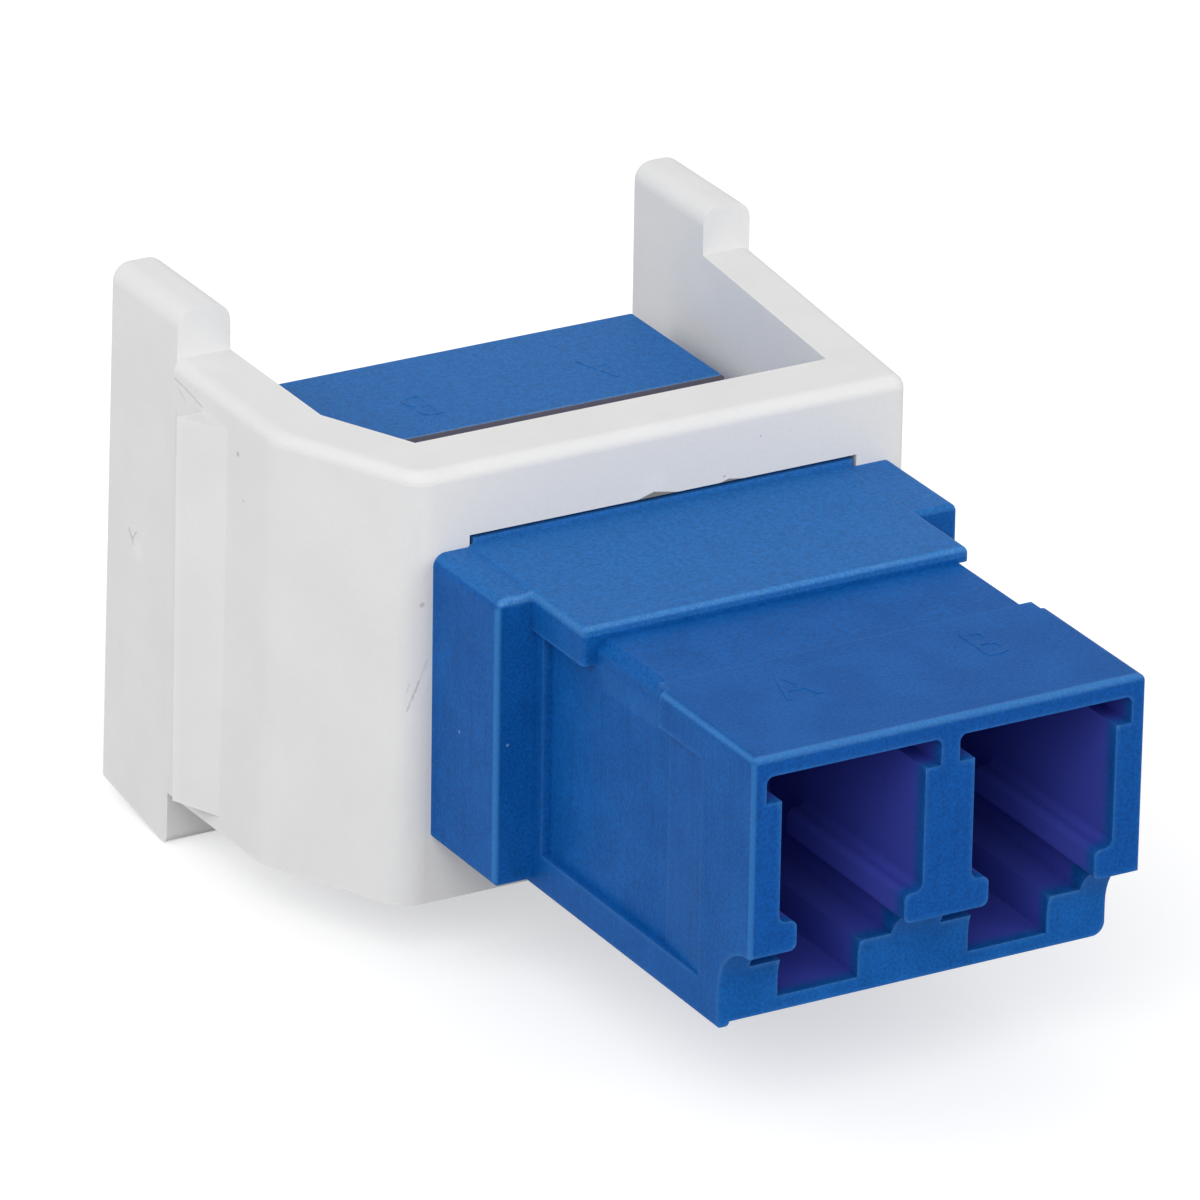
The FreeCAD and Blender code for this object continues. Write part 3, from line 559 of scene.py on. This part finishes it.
class ADAPTER_OT_sleeve_finish(bpy.types.Operator):
    """Give the split sleeves their ground and polished ceramic"""

    bl_idname = "adapter.sleeve_finish"
    bl_label = "Sleeve Finish"

    def execute(self, context):
        sizes = context.scene.adapter_sleeve
        finish = Finish("sleeve_ceramic")
        grinding = finish.noise(0.03, stretch=(1, 20, 1))
        cloud = finish.noise(0.9)
        edge = finish.edges(0.06).ramp(0.2, 0.8)
        base = tuple(sizes.colour)
        lower = shaded(base, 0.93)
        colour = finish.mix(cloud.ramp(0.35, 0.65), lower, base)
        colour = finish.mix(grinding.ramp(0.45, 0.75) * 0.25, colour, lower)
        # Painted highlight: the sleeves' outward edges are made paler.
        colour = finish.mix(edge * 0.4, colour, shaded(base, 1.08))
        finish.shade(colour, sizes.roughness + grinding * 0.12, grinding, sizes.relief)
        finish.put_on("alignment_sleeve_a", "alignment_sleeve_b")
        return {"FINISHED"}


# ---------------------------------------------------------------- port letters

# letter, name, x, y, height of the surface under it, turn seen from above, share of full size
PORT_LETTERS = (
    ("A", "front_a", -2.95, -23.30, NOSE_TOP, 0, 1.0),
    ("B", "front_b", 3.42, -23.30, NOSE_TOP, 0, 1.0),
    ("B", "rear_b", -2.75, -1.15, REAR_TOP, 180, 0.95),
    ("A", "rear_a", 3.50, -1.10, REAR_TOP, 180, 0.95),
)


def letter_mesh(context, letter, height, rise):
    """A letter of this height, about its own middle, with rounded rims."""
    outline = bpy.data.curves.new("letter", "FONT")
    outline.body = letter
    outline.align_x = "CENTER"
    outline.align_y = "CENTER"
    outline.size = 1.0
    outline.resolution_u = 6
    shape = bpy.data.objects.new("letter", outline)
    context.scene.collection.objects.link(shape)
    context.view_layer.update()
    outline.size = height / shape.dimensions.y
    outline.extrude = rise / 2
    outline.bevel_depth = rise / 2
    outline.bevel_resolution = 1
    outline.offset = -rise / 2
    context.view_layer.update()
    mesh = bpy.data.meshes.new_from_object(shape.evaluated_get(context.evaluated_depsgraph_get()))
    bpy.data.objects.remove(shape)
    return mesh


class ADAPTER_OT_port_letters(bpy.types.Operator):
    """Raise the letters A and B beside the front and the rear ports"""

    bl_idname = "adapter.port_letters"
    bl_label = "Port Letters"

    def execute(self, context):
        sizes = context.scene.adapter_marks
        finish = housing_finish("housing_plastic_marks", context.scene.adapter_housing, edge_highlight=False)
        for letter, name, x, y, ground, turn, share in PORT_LETTERS:
            mesh = letter_mesh(context, letter, sizes.height * share, sizes.rise)
            mesh.transform(Matrix.Diagonal((sizes.width, 1, 1, 1)))
            mesh.transform(Matrix.Rotation(math.radians(turn), 4, "Z"))
            mesh.transform(Matrix.Translation((x * MM, y * MM, ground * MM)))
            mesh.name = f"port_letter_{name}"
            mesh.materials.clear()
            mesh.materials.append(finish.material)
            piece = bpy.data.objects.new(f"port_letter_{name}", mesh)
            context.scene.collection.objects.link(piece)
            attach(piece, "root")
        return {"FINISHED"}


# ---------------------------------------------------------------- studio

# where the camera stands, in millimetres, and its azimuth, elevation and roll, in degrees
CAMERA_PLACE = (-147.927, -265.529, 129.422)
CAMERA_TURN = (29.803, 23.702, 0.911)
CAMERA_LENS = 331.175
CAMERA_SENSOR = 36
CAMERA_REACH = 5.0
FLOOR_GAP = 0.02
# soft lamps: name, setting that holds its power, direction from the object, distance, width
LAMPS = (
    ("key_lamp", "key", (-0.50, -0.62, 0.62), 0.80, 0.60),
    ("side_lamp", "side", (-0.75, 0.35, 0.56), 0.80, 0.60),
    ("fill_lamp", "fill", (0.55, -0.75, 0.30), 0.90, 0.60),
)


def make_camera(scene):
    azimuth, elevation, roll = (math.radians(angle) for angle in CAMERA_TURN)
    forward = Vector((
        math.sin(azimuth) * math.cos(elevation),
        math.cos(azimuth) * math.cos(elevation),
        -math.sin(elevation),
    ))
    level = Vector((math.cos(azimuth), -math.sin(azimuth), 0))
    rise = level.cross(forward)
    right = math.cos(roll) * level + math.sin(roll) * rise
    up = math.cos(roll) * rise - math.sin(roll) * level
    camera = bpy.data.objects.new("camera", bpy.data.cameras.new("camera"))
    scene.collection.objects.link(camera)
    camera.data.lens = CAMERA_LENS
    camera.data.sensor_width = CAMERA_SENSOR
    camera.data.clip_end = CAMERA_REACH
    turn = Matrix((right, up, -forward)).transposed().to_4x4()
    camera.matrix_world = Matrix.Translation(Vector(CAMERA_PLACE) * MM) @ turn
    scene.camera = camera


def make_lamps(scene, sizes, middle):
    for name, setting, direction, distance, width in LAMPS:
        lamp = bpy.data.lights.new(name, "AREA")
        lamp.shape = "DISK"
        lamp.size = width
        lamp.energy = getattr(sizes, setting)
        holder = bpy.data.objects.new(name, lamp)
        scene.collection.objects.link(holder)
        aim = Vector(direction).normalized()
        holder.location = middle + aim * distance
        holder.rotation_euler = aim.to_track_quat("Z", "Y").to_euler()


def make_room(scene, sizes):
    """Even light from all round, and plain white where the room itself is seen."""
    scene.world = bpy.data.worlds.new("room")
    room = Nodes(scene.world)
    lit = room.add("ShaderNodeBackground", inputs={"Color": WHITE, "Strength": sizes.sky})
    white = room.add("ShaderNodeBackground", inputs={"Color": WHITE, "Strength": 1.0})
    shown = room.add("ShaderNodeMixShader", inputs={0: room.seen_directly(), 1: lit, 2: white})
    room.fill(room.tree.nodes["World Output"], {"Surface": shown})


def make_floor(scene, sizes, middle, height):
    """A pale floor that keeps the shadow and fades to white where it is seen."""
    half = sizes.floor / 2
    corners = [
        (middle.x + side * half, middle.y + end * half, height)
        for side, end in ((-1, -1), (1, -1), (1, 1), (-1, 1))
    ]
    mesh = bpy.data.meshes.new("floor")
    mesh.from_pydata(corners, [], [(0, 1, 2, 3)])
    floor = bpy.data.objects.new("floor", mesh)
    scene.collection.objects.link(floor)
    material = bpy.data.materials.new("floor_paper")
    nodes = Nodes(material)
    nodes.tree.nodes.remove(nodes.tree.nodes["Principled BSDF"])
    paper = nodes.add("ShaderNodeBsdfDiffuse", inputs={"Color": opaque(sizes.paper)})
    glow = nodes.add("ShaderNodeEmission", inputs={"Color": WHITE, "Strength": sizes.glow})
    lifted = nodes.add("ShaderNodeAddShader", inputs={0: paper, 1: glow})
    shown = nodes.add("ShaderNodeMixShader", inputs={0: nodes.seen_directly(), 1: paper, 2: lifted})
    nodes.fill(nodes.tree.nodes["Material Output"], {"Surface": shown})
    mesh.materials.append(material)


class ADAPTER_OT_studio(bpy.types.Operator):
    """Set up the pale floor, the soft lamps, the room light and the camera"""

    bl_idname = "adapter.studio"
    bl_label = "Studio"

    def execute(self, context):
        scene = context.scene
        sizes = scene.adapter_studio
        low, high = (Vector(corner) for corner in CAD_BOX)
        middle = (low + high) / 2
        make_camera(scene)
        make_lamps(scene, sizes, middle)
        make_room(scene, sizes)
        make_floor(scene, sizes, middle, low.z - FLOOR_GAP * MM)
        scene.view_settings.view_transform = "Standard"
        return {"FINISHED"}


# ---------------------------------------------------------------- panel and registering

OPERATORS = (
    ADAPTER_OT_frame_finish,
    ADAPTER_OT_housing_finish,
    ADAPTER_OT_sleeve_finish,
    ADAPTER_OT_port_letters,
    ADAPTER_OT_studio,
)
SETTINGS = (
    ("adapter_frame", FrameSettings),
    ("adapter_housing", HousingSettings),
    ("adapter_sleeve", SleeveSettings),
    ("adapter_marks", MarkSettings),
    ("adapter_studio", StudioSettings),
)


class ADAPTER_PT_panel(bpy.types.Panel):
    """The adapter's steps and their settings"""

    bl_idname = "ADAPTER_PT_panel"
    bl_label = "Duplex Fibre Adapter"
    bl_space_type = "VIEW_3D"
    bl_region_type = "UI"
    bl_category = "Adapter"

    def draw(self, context):
        for operator, (name, group) in zip(OPERATORS, SETTINGS):
            box = self.layout.box()
            for setting in group.__annotations__:
                box.prop(getattr(context.scene, name), setting)
            box.operator(operator.bl_idname)


def register():
    for name, group in SETTINGS:
        bpy.utils.register_class(group)
        setattr(bpy.types.Scene, name, PointerProperty(type=group))
    for operator in OPERATORS:
        bpy.utils.register_class(operator)
    bpy.utils.register_class(ADAPTER_PT_panel)


def unregister():
    bpy.utils.unregister_class(ADAPTER_PT_panel)
    for operator in reversed(OPERATORS):
        bpy.utils.unregister_class(operator)
    for name, group in reversed(SETTINGS):
        delattr(bpy.types.Scene, name)
        bpy.utils.unregister_class(group)


def main():
    register()
    bpy.ops.adapter.frame_finish()
    bpy.ops.adapter.housing_finish()
    bpy.ops.adapter.sleeve_finish()
    bpy.ops.adapter.port_letters()
    bpy.ops.adapter.studio()


if __name__ == "__main__":
    main()
